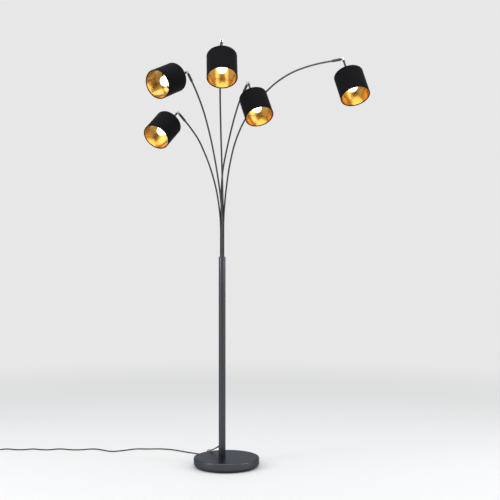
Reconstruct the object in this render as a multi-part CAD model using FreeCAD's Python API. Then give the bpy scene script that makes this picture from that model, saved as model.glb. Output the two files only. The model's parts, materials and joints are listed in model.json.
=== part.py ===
import FreeCAD, Part
import math
import os

# Tree floor lamp: a round weighted base, one pole, five bent arms that fan out of its top, and a
# fabric shade hinged on the end of each arm. Millimetres, +Z up, origin at the centre of the
# base's underside. -Y is the front. The heads are numbered from left to right.

V = FreeCAD.Vector
UP = V(0, 0, 1)

# Running clearances
SHAFT_GAP = 0.05      # radial, a shaft or tube in its bore
SIDE_GAP = 0.3        # each side of a tang or button

# Base
BASE_R = 157.0
BASE_TOP = 45.0
COVER_WALL = 2.0
COVER_SHOULDER = 6.0
COVER_EDGE = 14.0     # height of the cover's lower edge
WEIGHT_INSET = 6.0    # weight's rim behind the cover's
WEIGHT_TOP = 30.0
WEIGHT_ROUND = 5.0
BOSS_R = 90.0
PAD_THICK = 3.0
PAD_INSET = 7.0       # pad's edge behind the weight's
NUT_WELL_R = 20.0
NUT_WELL_TOP = 18.0

# Pole and the plug in each end
POLE_X = -22.0
POLE_Y = 37.0
POLE_R = 16.5
POLE_WALL = 1.5
POLE_TOP = 1002.0
FOOT_LENGTH = 26.0
STUD_R = 5.0
STUD_END = 6.0
WASHER_R = 15.0
WASHER_THICK = 2.0
NUT_FLATS = 17.0
NUT_THICK = 8.0
HUB_RECESS = 2.0
HUB_LENGTH = 40.0
HUB_SEAT = 34.0       # depth of the arms' bores

# Arms: tubes that stand side by side in the hub
ARM_R = 4.0
ARM_WALL = 1.0
ARM_SPACING = 0.35    # between neighbours in the hub
ARM_COUNT = 5
ARM_TIP_GAP = 24.0    # arm's end short of the hinge axis
ARM_TIP_STRAIGHT = 56.0
BEND_SHARE = 0.45     # of the shorter run, taken by a bend
# Hub bore of each arm, as an angle round the pole, the height of its first bend above the pole's
# top, and its other bends: right of the pole's axis, behind it, and above the pole's top. The last
# point is on the hinge axis.
HUB_ANGLES = (198.0, 270.0, 54.0, 126.0, 342.0)
ARM_RISES = (188.0, 198.0, 188.0, 338.0, 178.0)
ARM_BENDS = (
    ((-27.4, -6.2, 328), (-61.8, -12.8, 448), (-110, -22, 560), (-154.1, -30.6, 623),
     (-210.2, -41.4, 690.9)),
    ((-7.6, -22.3, 298), (-25.9, -59, 430), (-50, -107.4, 560), (-80.3, -168.2, 678),
     (-112.4, -232.6, 762), (-147.3, -303, 832.7)),
    ((2.9, -8, 308), (0.2, -38, 438), (-2.6, -84, 558), (-3.4, -150, 664), (-2.4, -236, 755),
     (1.5, -345, 844), (12, -483, 933)),
    ((4.3, -6.7, 428), (24.1, -35.5, 518), (52.4, -76.7, 633), (85.3, -124.5, 733),
     (125.8, -183.4, 806.9)),
    ((15.1, -7.7, 288), (31.8, -18.8, 418), (58.5, -36.4, 538), (100.2, -64, 638), (165.2, -107, 728),
     (244.5, -159.5, 805), (327.8, -214.7, 850), (423.7, -278.2, 872), (547.2, -360.3, 879)),
)

# Sleeve on the end of each arm, with the tang of the hinge
SLEEVE_R = 6.0
SLEEVE_LENGTH = 40.0
SLEEVE_SHOULDER = 14.0   # sleeve's front face behind the hinge axis
SLEEVE_DEPTH = 30.5
TANG_THICK = 4.2
TANG_R = 4.5

# Chrome knuckle on the shade's stem
CHEEK_THICK = 3.6
CHEEK_R = 5.5
SLOT_DEPTH = 10.5
BRIDGE_BEVEL = 1.5       # lets the tang fold in over the slot's floor
KNUCKLE_LENGTH = 13.0
COLLAR_LENGTH = 3.0
COLLAR_R = 5.0
SPIGOT_R = 2.7
SPIGOT_LENGTH = 10.0
SCREW_R = 2.0
SCREW_HEAD_R = 4.0
SCREW_HEAD_THICK = 1.5

# Stem, lampholder and bulb, measured down the shade's axis from the hinge
STEM_R = 4.25
STEM_END = 89.0
HOLDER_TOP = 79.0
HOLDER_NECK_R = 9.0
HOLDER_R = 14.0
HOLDER_CAP_LENGTH = 13.0
RING_SEAT = 112.0        # the spider's ring hangs on this shoulder
HOLDER_FLANGE_R = 17.0
HOLDER_FLANGE_THICK = 3.0
HOLDER_MOUTH = 134.0
HOLDER_SKIRT_R = 13.0
SOCKET_R = 7.4
SOCKET_MOUTH_R = 11.0
SOCKET_MOUTH_DEPTH = 6.0
SOCKET_END = 106.5
BULB_R = 22.5
BULB_WALL = 1.0
BULB_VENT_R = 0.8
BULB_CENTRE = 162.0
BULB_CAP_R = 6.9
BULB_CAP_LENGTH = 23.0
BULB_CONTACT_R = 2.5
BULB_CONTACT_LENGTH = 1.5
BULB_NECK_R = 9.5
BULB_THROAT = 50.0       # where the neck leaves the globe, above its equator

# Shade
SHADE_R = 65.0
SHADE_TOP = 94.0
SHADE_HEIGHT = 123.0
COVER_THICK = 1.2
LINER_THICK = 0.6
HEM_DEPTH = 4.0          # hem's width across the rim
HEM_HEIGHT = 4.2
RING_THICK = 2.6         # the spider is cut from strip this thick
BAND_WIDTH = 3.0
STRIP_WIDTH = 4.0
STRIP_COUNT = 3

# Shade axes at rest, from the hinge towards the opening
SHADE_AXES = (
    (-0.413, -0.657, -0.631),
    (-0.546, -0.742, -0.390),
    (0.029, -0.541, -0.841),
    (0.237, -0.542, -0.806),
    (0.198, -0.492, -0.848),
)

# Cord and the strain relief in the pole
CORD_R = 3.0
CORD_LIFT = 0.05         # cord's underside above the floor
EXIT_HEIGHT = 87.0
EXIT_TURN = 125.0
EXIT_DIP = 25.0
RELIEF_LENGTH = 24.0
RELIEF_ROOT_R = 6.0
RELIEF_TIP_R = 4.2
RELIEF_NECK_R = 4.9
FIRST_RUN = 28.0
# The cord's route after the strain relief: over the base's rear rim, then along the floor
FLOOR = CORD_R + CORD_LIFT
SWITCH_AXIS = 7.0
CORD_ROUTE = (
    (-79.5, 119, 49.2), (-93, 147, 47), (-112, 196, 14), (-130, 231, FLOOR + 1),
    (-154, 255, FLOOR), (-196, 282, FLOOR), (-244, 318, FLOOR), (-296, 356, FLOOR),
    (-356, 371, FLOOR), (-420, 364, FLOOR), (-478, 373, FLOOR), (-533, 332, FLOOR),
    (-598, 300, FLOOR), (-650, 346, FLOOR), (-702, 374, FLOOR), (-760, 344, FLOOR),
    (-818, 347, FLOOR), (-874, 375, FLOOR), (-924, 344, FLOOR), (-966, 350, FLOOR),
    (-1013, 370, FLOOR), (-1060, 346, FLOOR), (-1104, 351, FLOOR), (-1148, 372, FLOOR),
    (-1200, 340, FLOOR), (-1240, 310, FLOOR), (-1267, 303.5, SWITCH_AXIS), (-1290, 303.5, SWITCH_AXIS),
)

# Foot switch
SWITCH_LENGTH = 66.0
SWITCH_WIDTH = 34.0
SWITCH_HEIGHT = 20.0
SWITCH_STUB = 8.0
SWITCH_STUB_R = 4.6
BUTTON_R = 11.0
BUTTON_WELL = 9.0
BUTTON_TRAVEL = 2.5
BUTTON_SPARE = 0.8       # left under the pressed button
BUTTON_PROUD = 4.5

# Put-away coil: two layers that spiral in and out again
COIL_TURNS = 3.5
COIL_R = 39.0
COIL_PITCH = 6.6
COIL_BASE = CORD_R + 0.6
COIL_LEAD = 40.0
COIL_TAIL = 45.0
TIE_THICK = 0.5
TIE_WIDTH = 4.0
TIE_GAP = 0.25

# Flat two-pin plug
PLUG_LENGTH = 36.0
PLUG_WIDTH = 35.0
PLUG_HEIGHT = 13.6
PLUG_NECK_LENGTH = 12.0
PLUG_SHOULDER = 22.0     # from here it is full width
PLUG_REAR_WIDTH = 12.0
PIN_R = 2.0
PIN_LENGTH = 19.0
PIN_SPACING = 19.0


# Helpers

def cylinder(radius, low, high, x=0.0, y=0.0):
    return Part.makeCylinder(radius, high - low, V(x, y, low))


def tube(outer, inner, low, high, x=0.0, y=0.0):
    return cylinder(outer, low, high, x, y).cut(cylinder(inner, low, high, x, y))


def box(x0, x1, y0, y1, z0, z1):
    return Part.makeBox(x1 - x0, y1 - y0, z1 - z0, V(x0, y0, z0))


def turned(outline):
    """Solid of revolution about Z from (radius, height) points."""
    points = [V(r, 0, z) for r, z in outline]
    face = Part.Face(Part.makePolygon(points + points[:1]))
    return face.revolve(V(0, 0, 0), UP, 360)


def placed(shape, origin, x_axis, z_axis):
    """The shape moved from its own axes to an origin, with its X and Z along the given axes."""
    z = V(z_axis).normalize()
    y = z.cross(x_axis).normalize()
    x = y.cross(z)
    moved = shape.copy()
    matrix = FreeCAD.Matrix(x.x, y.x, z.x, origin.x, x.y, y.y, z.y, origin.y,
                            x.z, y.z, z.z, origin.z, 0, 0, 0, 1)
    moved.Placement = FreeCAD.Placement(matrix)
    return moved


def arc_edge(start, corner, end):
    """Arc from start to end whose tangents meet at the corner."""
    middle = (start + end) * 0.5
    weight = start.distanceToPoint(end) / 2 / start.distanceToPoint(corner)
    return Part.Arc(start, (middle + corner * weight) * (1 / (1 + weight)), end).toShape()


def bent_path(points, last_straight=0.0):
    """Straight runs through the points, joined by tangent arcs. Gives the edges and the radii."""
    edges, radii = [], []
    at = points[0]
    for before, corner, after in zip(points, points[1:], points[2:]):
        runs = before.distanceToPoint(corner), corner.distanceToPoint(after)
        back = BEND_SHARE * min(runs)
        if after is points[-1]:
            back = min(back, runs[1] - last_straight)
        into = (corner - before).normalize()
        out = (after - corner).normalize()
        start = corner - into * back
        edges.append(Part.LineSegment(at, start).toShape())
        at = corner + out * back
        edges.append(arc_edge(start, corner, at))
        radii.append(back / math.tan(into.getAngle(out) / 2))
    edges.append(Part.LineSegment(at, points[-1]).toShape())
    return edges, radii


def swept(edges, radius):
    """Round bar along a chain of edges."""
    path = Part.Wire(edges)
    first = edges[0]
    start = first.valueAt(first.FirstParameter)
    ahead = first.tangentAt(first.FirstParameter)
    ring = Part.Wire(Part.makeCircle(radius, start, ahead))
    return path.makePipeShell([ring], True, False)


def biarc(start, ahead, end, onward):
    """Two tangent arcs from start, which leaves along ahead, to end, which leaves along onward."""
    step = end - start
    both = ahead + onward
    bend = 2 * (1 - ahead.dot(onward))
    if bend < 1e-6:
        reach = step.dot(step) / (2 * step.dot(both))
    else:
        reach = (math.sqrt(step.dot(both) ** 2 + bend * step.dot(step)) - step.dot(both)) / bend
    first, second = start + ahead * reach, end - onward * reach
    joint = (first + second) * 0.5
    return [arc_edge(start, first, joint), arc_edge(joint, second, end)]


# Base

def base_cover():
    inner = BASE_R - COVER_WALL
    under = BASE_TOP - COVER_WALL
    shell = cylinder(BASE_R, COVER_EDGE, BASE_TOP)
    shell = shell.makeFillet(COVER_SHOULDER, [e for e in shell.Edges if e.BoundBox.ZMin > BASE_TOP - 1])
    hollow = cylinder(inner, COVER_EDGE, under)
    hollow = hollow.makeFillet(COVER_SHOULDER - COVER_WALL,
                               [e for e in hollow.Edges if e.BoundBox.ZMin > under - 1])
    stud_hole = cylinder(STUD_R + SIDE_GAP, under - 1, BASE_TOP + 1, POLE_X, POLE_Y)
    return shell.cut(hollow).cut(stud_hole)


def base_weight():
    disc = cylinder(BASE_R - WEIGHT_INSET, PAD_THICK, WEIGHT_TOP)
    disc = disc.makeFillet(WEIGHT_ROUND, [e for e in disc.Edges if e.BoundBox.ZMax < PAD_THICK + 1])
    boss = cylinder(BOSS_R, WEIGHT_TOP, BASE_TOP - COVER_WALL)
    well = cylinder(NUT_WELL_R, PAD_THICK, NUT_WELL_TOP, POLE_X, POLE_Y)
    stud_hole = cylinder(STUD_R + SIDE_GAP, PAD_THICK, BASE_TOP, POLE_X, POLE_Y)
    return disc.fuse(boss).cut(well).cut(stud_hole).removeSplitter()


def base_pad():
    pad = cylinder(BASE_R - WEIGHT_INSET - PAD_INSET, 0, PAD_THICK)
    return pad.cut(cylinder(NUT_WELL_R, 0, PAD_THICK, POLE_X, POLE_Y))


def base_nut():
    nut_top = NUT_WELL_TOP - WASHER_THICK
    washer = tube(WASHER_R, STUD_R + SHAFT_GAP, nut_top, NUT_WELL_TOP, POLE_X, POLE_Y)
    corner = NUT_FLATS / 2 / math.cos(math.pi / 6)
    hexagon = [V(POLE_X + corner * math.cos(k * math.pi / 3), POLE_Y + corner * math.sin(k * math.pi / 3),
                 nut_top - NUT_THICK) for k in range(6)]
    nut = Part.Face(Part.makePolygon(hexagon + hexagon[:1])).extrude(UP * NUT_THICK)
    nut = nut.cut(cylinder(STUD_R + SHAFT_GAP, nut_top - NUT_THICK, nut_top, POLE_X, POLE_Y))
    return Part.makeCompound([washer, nut])


# Pole

def exit_frame():
    """Where the cord's strain relief crosses the pole's wall, and its direction."""
    turn, dip = math.radians(EXIT_TURN), math.radians(EXIT_DIP)
    out = V(math.cos(turn), math.sin(turn), 0)
    at = V(POLE_X, POLE_Y, EXIT_HEIGHT) + out * POLE_R
    return at, (out * math.cos(dip) - UP * math.sin(dip)).normalize()


def along(radius_start, radius_end, start, direction, length):
    """Cylinder or cone from a point along a direction."""
    if radius_start == radius_end:
        return Part.makeCylinder(radius_start, length, start, direction)
    return Part.makeCone(radius_start, radius_end, length, start, direction)


def pole():
    shell = tube(POLE_R, POLE_R - POLE_WALL, BASE_TOP, POLE_TOP, POLE_X, POLE_Y)
    at, ahead = exit_frame()
    bore = along(RELIEF_NECK_R + SHAFT_GAP, RELIEF_NECK_R + SHAFT_GAP, at - ahead * POLE_R, ahead, 2 * POLE_R)
    return shell.cut(bore)


def pole_foot():
    plug = cylinder(POLE_R - POLE_WALL - SHAFT_GAP, BASE_TOP, BASE_TOP + FOOT_LENGTH, POLE_X, POLE_Y)
    stud = cylinder(STUD_R, STUD_END, BASE_TOP, POLE_X, POLE_Y)
    return plug.fuse(stud)


def hub_bores():
    """Where each arm stands in the hub."""
    pitch = (ARM_R + ARM_SPACING / 2) / math.sin(math.pi / ARM_COUNT)
    turns = [math.radians(a) for a in HUB_ANGLES]
    return [V(POLE_X + pitch * math.cos(a), POLE_Y + pitch * math.sin(a), 0) for a in turns]


def arm_hub():
    top = POLE_TOP - HUB_RECESS
    hub = cylinder(POLE_R - POLE_WALL - SHAFT_GAP, top - HUB_LENGTH, top, POLE_X, POLE_Y)
    for bore in hub_bores():
        hub = hub.cut(cylinder(ARM_R + SHAFT_GAP, top - HUB_SEAT, top, bore.x, bore.y))
        hub = hub.cut(cylinder(ARM_R - ARM_WALL, top - HUB_LENGTH, top, bore.x, bore.y))
    return hub


def cord_bushing():
    at, ahead = exit_frame()
    neck_start = at - ahead * (2 * POLE_WALL + 2)
    neck = along(RELIEF_NECK_R, RELIEF_NECK_R, neck_start, ahead, 2 * POLE_WALL + 6)
    taper = along(RELIEF_ROOT_R, RELIEF_TIP_R, at - ahead * 3, ahead, RELIEF_LENGTH + 3)
    taper = taper.cut(cylinder(POLE_R, 0, POLE_TOP, POLE_X, POLE_Y))
    bore = along(CORD_R + SHAFT_GAP, CORD_R + SHAFT_GAP, neck_start - ahead, ahead, RELIEF_LENGTH + 20)
    return neck.fuse(taper).cut(bore).removeSplitter()


# Heads. Each is built down its own axis with the hinge at the origin, then placed.

def arm_points(number):
    bore = hub_bores()[number]
    seat = V(bore.x, bore.y, POLE_TOP - HUB_RECESS - HUB_SEAT)
    rise = V(bore.x, bore.y, POLE_TOP + ARM_RISES[number])
    return [seat, rise] + [V(POLE_X + x, POLE_Y + y, POLE_TOP + z) for x, y, z in ARM_BENDS[number]]


def hinge_frame(number):
    """Hinge centre, hinge axis, direction of the arm's end, and direction of the shade."""
    points = arm_points(number)
    tip = (points[-1] - points[-2]).normalize()
    shade = V(*SHADE_AXES[number]).normalize()
    return points[-1], tip.cross(shade).normalize(), tip, shade


def arm(number):
    points = arm_points(number)
    tip = (points[-1] - points[-2]).normalize()
    points[-1] = points[-1] - tip * ARM_TIP_GAP
    edges, radii = bent_path(points, ARM_TIP_STRAIGHT - ARM_TIP_GAP)
    bar, core = swept(edges, ARM_R), swept(edges, ARM_R - ARM_WALL)
    length = sum(e.Length for e in edges)
    print("arm %d: length %.0f, least bend radius %.0f, volume ratio %.4f"
          % (number + 1, length, min(radii), bar.Volume / (math.pi * ARM_R ** 2 * length)))
    return bar.cut(core)


def sleeve():
    """Z runs along the arm's end, with the hinge at the origin."""
    back = -SLEEVE_SHOULDER - SLEEVE_LENGTH
    body = cylinder(SLEEVE_R, back, -SLEEVE_SHOULDER)
    body = body.makeChamfer(0.8, body.Edges[:1] + [e for e in body.Edges if e.BoundBox.ZMax < back + 1])
    half = TANG_THICK / 2
    tang = box(-half, half, -TANG_R, TANG_R, -SLEEVE_SHOULDER - 1, 0)
    tang = tang.fuse(along(TANG_R, TANG_R, V(-half, 0, 0), V(1, 0, 0), TANG_THICK))
    bore = cylinder(ARM_R + SHAFT_GAP, back, back + SLEEVE_DEPTH)
    screw_hole = along(SCREW_R + SHAFT_GAP, SCREW_R + SHAFT_GAP, V(-half - 1, 0, 0), V(1, 0, 0), TANG_THICK + 2)
    return body.fuse(tang).cut(bore).cut(screw_hole).removeSplitter()


def knuckle():
    """Chrome fork and its screw. X is the hinge axis, and the shade hangs along -Z."""
    slot = TANG_THICK / 2 + SIDE_GAP
    outside = slot + CHEEK_THICK
    fork = box(-outside, outside, -CHEEK_R, CHEEK_R, -KNUCKLE_LENGTH, 0)
    fork = fork.fuse(along(CHEEK_R, CHEEK_R, V(-outside, 0, 0), V(1, 0, 0), 2 * outside))
    low = -SLOT_DEPTH - BRIDGE_BEVEL
    gap = [V(-slot, -2 * CHEEK_R, 2 * CHEEK_R), V(-slot, -2 * CHEEK_R, low), V(-slot, -CHEEK_R, low),
           V(-slot, BRIDGE_BEVEL - CHEEK_R, -SLOT_DEPTH), V(-slot, CHEEK_R - BRIDGE_BEVEL, -SLOT_DEPTH),
           V(-slot, CHEEK_R, low), V(-slot, 2 * CHEEK_R, low), V(-slot, 2 * CHEEK_R, 2 * CHEEK_R)]
    fork = fork.cut(Part.Face(Part.makePolygon(gap + gap[:1])).extrude(V(2 * slot, 0, 0))).removeSplitter()
    collar = cylinder(COLLAR_R, -KNUCKLE_LENGTH - COLLAR_LENGTH, -KNUCKLE_LENGTH)
    spigot = cylinder(SPIGOT_R, -KNUCKLE_LENGTH - COLLAR_LENGTH - SPIGOT_LENGTH, -KNUCKLE_LENGTH)
    fork = fork.fuse(collar).fuse(spigot)
    hole = along(SCREW_R + SHAFT_GAP, SCREW_R + SHAFT_GAP, V(-2 * outside, 0, 0), V(1, 0, 0), 4 * outside)
    fork = fork.cut(hole)
    screw = along(SCREW_R, SCREW_R, V(-outside, 0, 0), V(1, 0, 0), 2 * outside)
    for side in (-1, 1):
        screw = screw.fuse(along(SCREW_HEAD_R, SCREW_HEAD_R, V(side * outside, 0, 0), V(side, 0, 0),
                                 SCREW_HEAD_THICK))
    return Part.makeCompound([fork, screw])


def stem():
    top = -KNUCKLE_LENGTH - COLLAR_LENGTH
    return tube(STEM_R, SPIGOT_R + SHAFT_GAP, -STEM_END, top)


def lampholder():
    shoulder = HOLDER_TOP + HOLDER_CAP_LENGTH
    outline = [(STEM_R + SHAFT_GAP, -HOLDER_TOP), (HOLDER_NECK_R, -HOLDER_TOP),
               (HOLDER_R, -HOLDER_TOP - 4), (HOLDER_R, -shoulder),
               (HOLDER_SKIRT_R, -shoulder), (HOLDER_SKIRT_R, -RING_SEAT),
               (HOLDER_FLANGE_R, -RING_SEAT), (HOLDER_FLANGE_R, -RING_SEAT - HOLDER_FLANGE_THICK),
               (HOLDER_SKIRT_R, -RING_SEAT - HOLDER_FLANGE_THICK), (HOLDER_SKIRT_R, -HOLDER_MOUTH),
               (SOCKET_MOUTH_R, -HOLDER_MOUTH), (SOCKET_MOUTH_R, -HOLDER_MOUTH + SOCKET_MOUTH_DEPTH),
               (SOCKET_R, -HOLDER_MOUTH + SOCKET_MOUTH_DEPTH), (SOCKET_R, -SOCKET_END),
               (SPIGOT_R, -SOCKET_END), (SPIGOT_R, -STEM_END), (STEM_R + SHAFT_GAP, -STEM_END)]
    return turned(outline)


def bulb_form(inset):
    """Globe, neck and cap, all drawn in by the inset."""
    globe_r, neck_r = BULB_R - inset, BULB_NECK_R - inset
    cap_end = SOCKET_END + BULB_CONTACT_LENGTH
    neck_end = cap_end + BULB_CAP_LENGTH + inset
    throat = math.radians(BULB_THROAT)
    neck = turned([(0, -BULB_CENTRE), (globe_r * math.cos(throat), -BULB_CENTRE + globe_r * math.sin(throat)),
                   (neck_r, -neck_end - 2), (neck_r, -neck_end), (0, -neck_end)])
    globe = Part.makeSphere(globe_r, V(0, 0, -BULB_CENTRE))
    cap = cylinder(BULB_CAP_R - inset, -neck_end - 1, -cap_end - inset)
    return globe.fuse(neck).fuse(cap)


def bulb():
    contact = cylinder(BULB_CONTACT_R, -SOCKET_END - BULB_CONTACT_LENGTH, -SOCKET_END)
    vent = cylinder(BULB_VENT_R, -SOCKET_END - BULB_CONTACT_LENGTH - BULB_WALL - 1, -SOCKET_END)
    glass = bulb_form(0).fuse(contact).removeSplitter()
    return glass.cut(bulb_form(BULB_WALL)).cut(vent).removeSplitter()


def shade_cover():
    low = -SHADE_TOP - SHADE_HEIGHT
    cover = cylinder(SHADE_R, low, -SHADE_TOP)
    cover = cover.makeFillet(COVER_THICK, [e for e in cover.Edges if e.Length > SHADE_R])
    cover = cover.cut(cylinder(SHADE_R - HEM_DEPTH, low, -SHADE_TOP))
    return cover.cut(cylinder(SHADE_R - COVER_THICK, low + HEM_HEIGHT, -SHADE_TOP - HEM_HEIGHT))


def shade_liner():
    outer = SHADE_R - COVER_THICK
    return tube(outer, outer - LINER_THICK, -SHADE_TOP - SHADE_HEIGHT + HEM_HEIGHT, -SHADE_TOP - HEM_HEIGHT)


def spider():
    """Ring on the lampholder's flange, three strips and the band round the shade's top."""
    outer = SHADE_R - COVER_THICK - LINER_THICK - SHAFT_GAP
    high = -SHADE_TOP - HEM_HEIGHT - SHAFT_GAP
    inner = HOLDER_SKIRT_R + SHAFT_GAP
    frame = tube(HOLDER_FLANGE_R, inner, -RING_SEAT, -RING_SEAT + RING_THICK)
    frame = frame.fuse(tube(outer, outer - BAND_WIDTH, high - RING_THICK, high))
    start = (inner + HOLDER_FLANGE_R) / 2
    end = outer - BAND_WIDTH / 2
    side = [V(start, -STRIP_WIDTH / 2, -RING_SEAT), V(end, -STRIP_WIDTH / 2, high - RING_THICK),
            V(end, -STRIP_WIDTH / 2, high), V(start, -STRIP_WIDTH / 2, -RING_SEAT + RING_THICK)]
    strip = Part.Face(Part.makePolygon(side + side[:1])).extrude(V(0, STRIP_WIDTH, 0))
    for k in range(STRIP_COUNT):
        turned_strip = strip.copy()
        turned_strip.rotate(V(0, 0, 0), UP, 360.0 * (k + 0.25) / STRIP_COUNT)
        frame = frame.fuse(turned_strip)
    return frame


# Cord, foot switch, coil and plug

def cord_run():
    at, ahead = exit_frame()
    start = at + ahead * RELIEF_LENGTH
    points = [start, start + ahead * FIRST_RUN] + [V(*p) for p in CORD_ROUTE]
    edges, radii = bent_path(points)
    run = swept(edges, CORD_R)
    length = sum(e.Length for e in edges)
    print("cord on the floor: length %.0f, volume ratio %.4f, bend radii"
          % (length, run.Volume / (math.pi * CORD_R ** 2 * length)), *(round(r) for r in radii))
    return run


def foot_switch():
    """Lies along -X from the cord's end."""
    end = V(*CORD_ROUTE[-1])
    x0, x1 = end.x - SWITCH_LENGTH, end.x
    half = SWITCH_WIDTH / 2
    body = box(x0 + SWITCH_STUB, x1 - SWITCH_STUB, end.y - half, end.y + half, 0, SWITCH_HEIGHT)
    body = body.makeFillet(half - 3, [e for e in body.Edges if e.BoundBox.ZLength > SWITCH_HEIGHT - 1])
    body = body.makeFillet(3.0, [e for e in body.Edges if e.BoundBox.ZMin > SWITCH_HEIGHT - 1])
    stubs = along(SWITCH_STUB_R, SWITCH_STUB_R, V(x0, end.y, end.z), V(1, 0, 0), SWITCH_LENGTH)
    middle = (x0 + x1) / 2
    well = cylinder(BUTTON_R + SIDE_GAP, SWITCH_HEIGHT - BUTTON_WELL, SWITCH_HEIGHT + 1, middle, end.y)
    return body.fuse(stubs).cut(well)


def switch_button():
    end = V(*CORD_ROUTE[-1])
    middle = end.x - SWITCH_LENGTH / 2
    low = SWITCH_HEIGHT - BUTTON_WELL + BUTTON_TRAVEL + BUTTON_SPARE
    button = cylinder(BUTTON_R, low, SWITCH_HEIGHT + BUTTON_PROUD, middle, end.y)
    return button.makeFillet(2.0, [e for e in button.Edges if e.BoundBox.ZMin > SWITCH_HEIGHT])


def coil_centre():
    end = V(*CORD_ROUTE[-1])
    return V(end.x - SWITCH_LENGTH - COIL_LEAD, end.y - COIL_R, 0)


def coil_at(turns):
    """Point of the coil after so many turns from its start, where it runs along -X."""
    inward = min(turns, COIL_TURNS - turns)
    climb = min(max((turns - COIL_TURNS / 2) * 2 + 0.5, 0.0), 1.0)
    rise = climb * climb * (3 - 2 * climb)
    radius = COIL_R - COIL_PITCH * inward
    turn = math.pi / 2 + 2 * math.pi * turns
    offset = V(radius * math.cos(turn), radius * math.sin(turn), COIL_BASE + COIL_PITCH * rise)
    return coil_centre() + offset


def coil_heading(turns):
    step = 0.002
    return (coil_at(turns + step) - coil_at(turns - step)).normalize()


def plug_rear():
    """Where the cord enters the plug."""
    centre = coil_centre()
    return V(centre.x + COIL_TAIL, centre.y - COIL_R, PLUG_HEIGHT / 2)


def least_gap(points, diameter, apart):
    """Least gap between stretches of a tube that lie at least so far apart along it."""
    gap = math.inf
    for i, p in enumerate(points):
        for q in points[i + apart:]:
            gap = min(gap, p.distanceToPoint(q) - diameter)
    return gap


def cord_coil():
    straight = 2 * CORD_R
    start = V(*CORD_ROUTE[-1]) - V(SWITCH_LENGTH, 0, 0)
    left = V(-1, 0, 0)
    lead = start + left * straight
    steps = [k * 0.25 for k in range(int(COIL_TURNS * 4) + 1)]
    places = [coil_at(t) for t in steps]
    headings = [coil_heading(t) for t in steps]
    end = plug_rear()
    tail = end - V(straight, 0, 0)
    edges = [Part.LineSegment(start, lead).toShape()]
    chain = zip([lead] + places, [left] + headings, places + [tail], headings + [V(1, 0, 0)])
    for here, ahead, there, onward in chain:
        edges += biarc(here, ahead, there, onward)
    edges.append(Part.LineSegment(tail, end).toShape())
    coil = swept(edges, CORD_R)
    length = sum(e.Length for e in edges)
    points = [p for e in edges for p in e.discretize(Distance=3.0)[:-1]]
    print("coil: length %.0f, volume ratio %.4f, least gap to itself %.2f"
          % (length, coil.Volume / (math.pi * CORD_R ** 2 * length), least_gap(points, 2 * CORD_R, 12)))
    return coil


def cord_tie():
    """Band round both layers of the coil, at the side away from the lamp."""
    centre = coil_centre()
    turns = (0.25, COIL_TURNS - 0.25, 1.25, COIL_TURNS - 1.25)
    reach = [centre.x - coil_at(t).x for t in turns]
    low, high = COIL_BASE - CORD_R - TIE_GAP, COIL_BASE + COIL_PITCH + CORD_R + TIE_GAP
    inner = [centre.x - max(reach) - CORD_R - TIE_GAP, centre.x - min(reach) + CORD_R + TIE_GAP]
    half = TIE_WIDTH / 2

    def band(grown):
        slab = box(inner[0] - grown, inner[1] + grown, centre.y - half, centre.y + half, low - grown, high + grown)
        return slab.makeFillet(2.0 + grown, [e for e in slab.Edges if e.BoundBox.YLength > half])
    return band(TIE_THICK).cut(band(0))


def plug():
    rear = plug_rear()
    half = PLUG_WIDTH / 2
    small = PLUG_REAR_WIDTH / 2
    outline = [(0, small), (PLUG_NECK_LENGTH, small), (PLUG_SHOULDER, half), (PLUG_LENGTH, half),
               (PLUG_LENGTH, -half), (PLUG_SHOULDER, -half), (PLUG_NECK_LENGTH, -small), (0, -small)]
    corners = [V(rear.x + along_x, rear.y + across, 0) for along_x, across in outline]
    body = Part.Face(Part.makePolygon(corners + corners[:1])).extrude(UP * PLUG_HEIGHT)
    upright = [e for e in body.Edges if e.BoundBox.ZLength > PLUG_HEIGHT - 1]
    body = body.makeFillet(2.5, upright)
    flat = [e for e in body.Edges if e.BoundBox.ZLength < 0.1]
    body = body.makeFillet(1.5, flat)
    front = rear.x + PLUG_LENGTH
    for side in (-1, 1):
        start = V(front - 2, rear.y + side * PIN_SPACING / 2, rear.z)
        body = body.fuse(along(PIN_R, PIN_R, start, V(1, 0, 0), PIN_LENGTH + 2))
    return body


# Every node

def head_nodes(number):
    """The nodes of one head, placed on the end of its arm."""
    centre, hinge, tip, shade = hinge_frame(number)
    name = "_%d" % (number + 1)
    nodes = {"arm" + name: arm(number), "sleeve" + name: placed(sleeve(), centre, hinge, tip)}
    makers = {"knuckle": knuckle, "stem": stem, "lampholder": lampholder, "spider": spider,
              "shade_cover": shade_cover, "shade_liner": shade_liner, "bulb": bulb}
    for piece, make in makers.items():
        nodes[piece + name] = placed(make(), centre, hinge, shade * -1)
    return nodes


def all_nodes():
    nodes = {
        "base_cover": base_cover(), "base_weight": base_weight(), "base_pad": base_pad(),
        "base_nut": base_nut(), "pole": pole(), "pole_foot": pole_foot(), "arm_hub": arm_hub(),
        "cord_bushing": cord_bushing(), "cord_run": cord_run(), "foot_switch": foot_switch(),
        "switch_button": switch_button(), "cord_coil": cord_coil(), "cord_tie": cord_tie(),
        "plug": plug(),
    }
    for number in range(ARM_COUNT):
        nodes.update(head_nodes(number))
    return nodes


os.makedirs("parts", exist_ok=True)
for node, shape in all_nodes().items():
    shape.exportStep("parts/%s.step" % node)
    print("%-16s solids %d, valid %s, volume %.0f mm3" % (node, len(shape.Solids), shape.isValid(), shape.Volume))
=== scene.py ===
import bmesh
import bpy
import json
import math
from mathutils import Matrix, Vector


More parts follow.
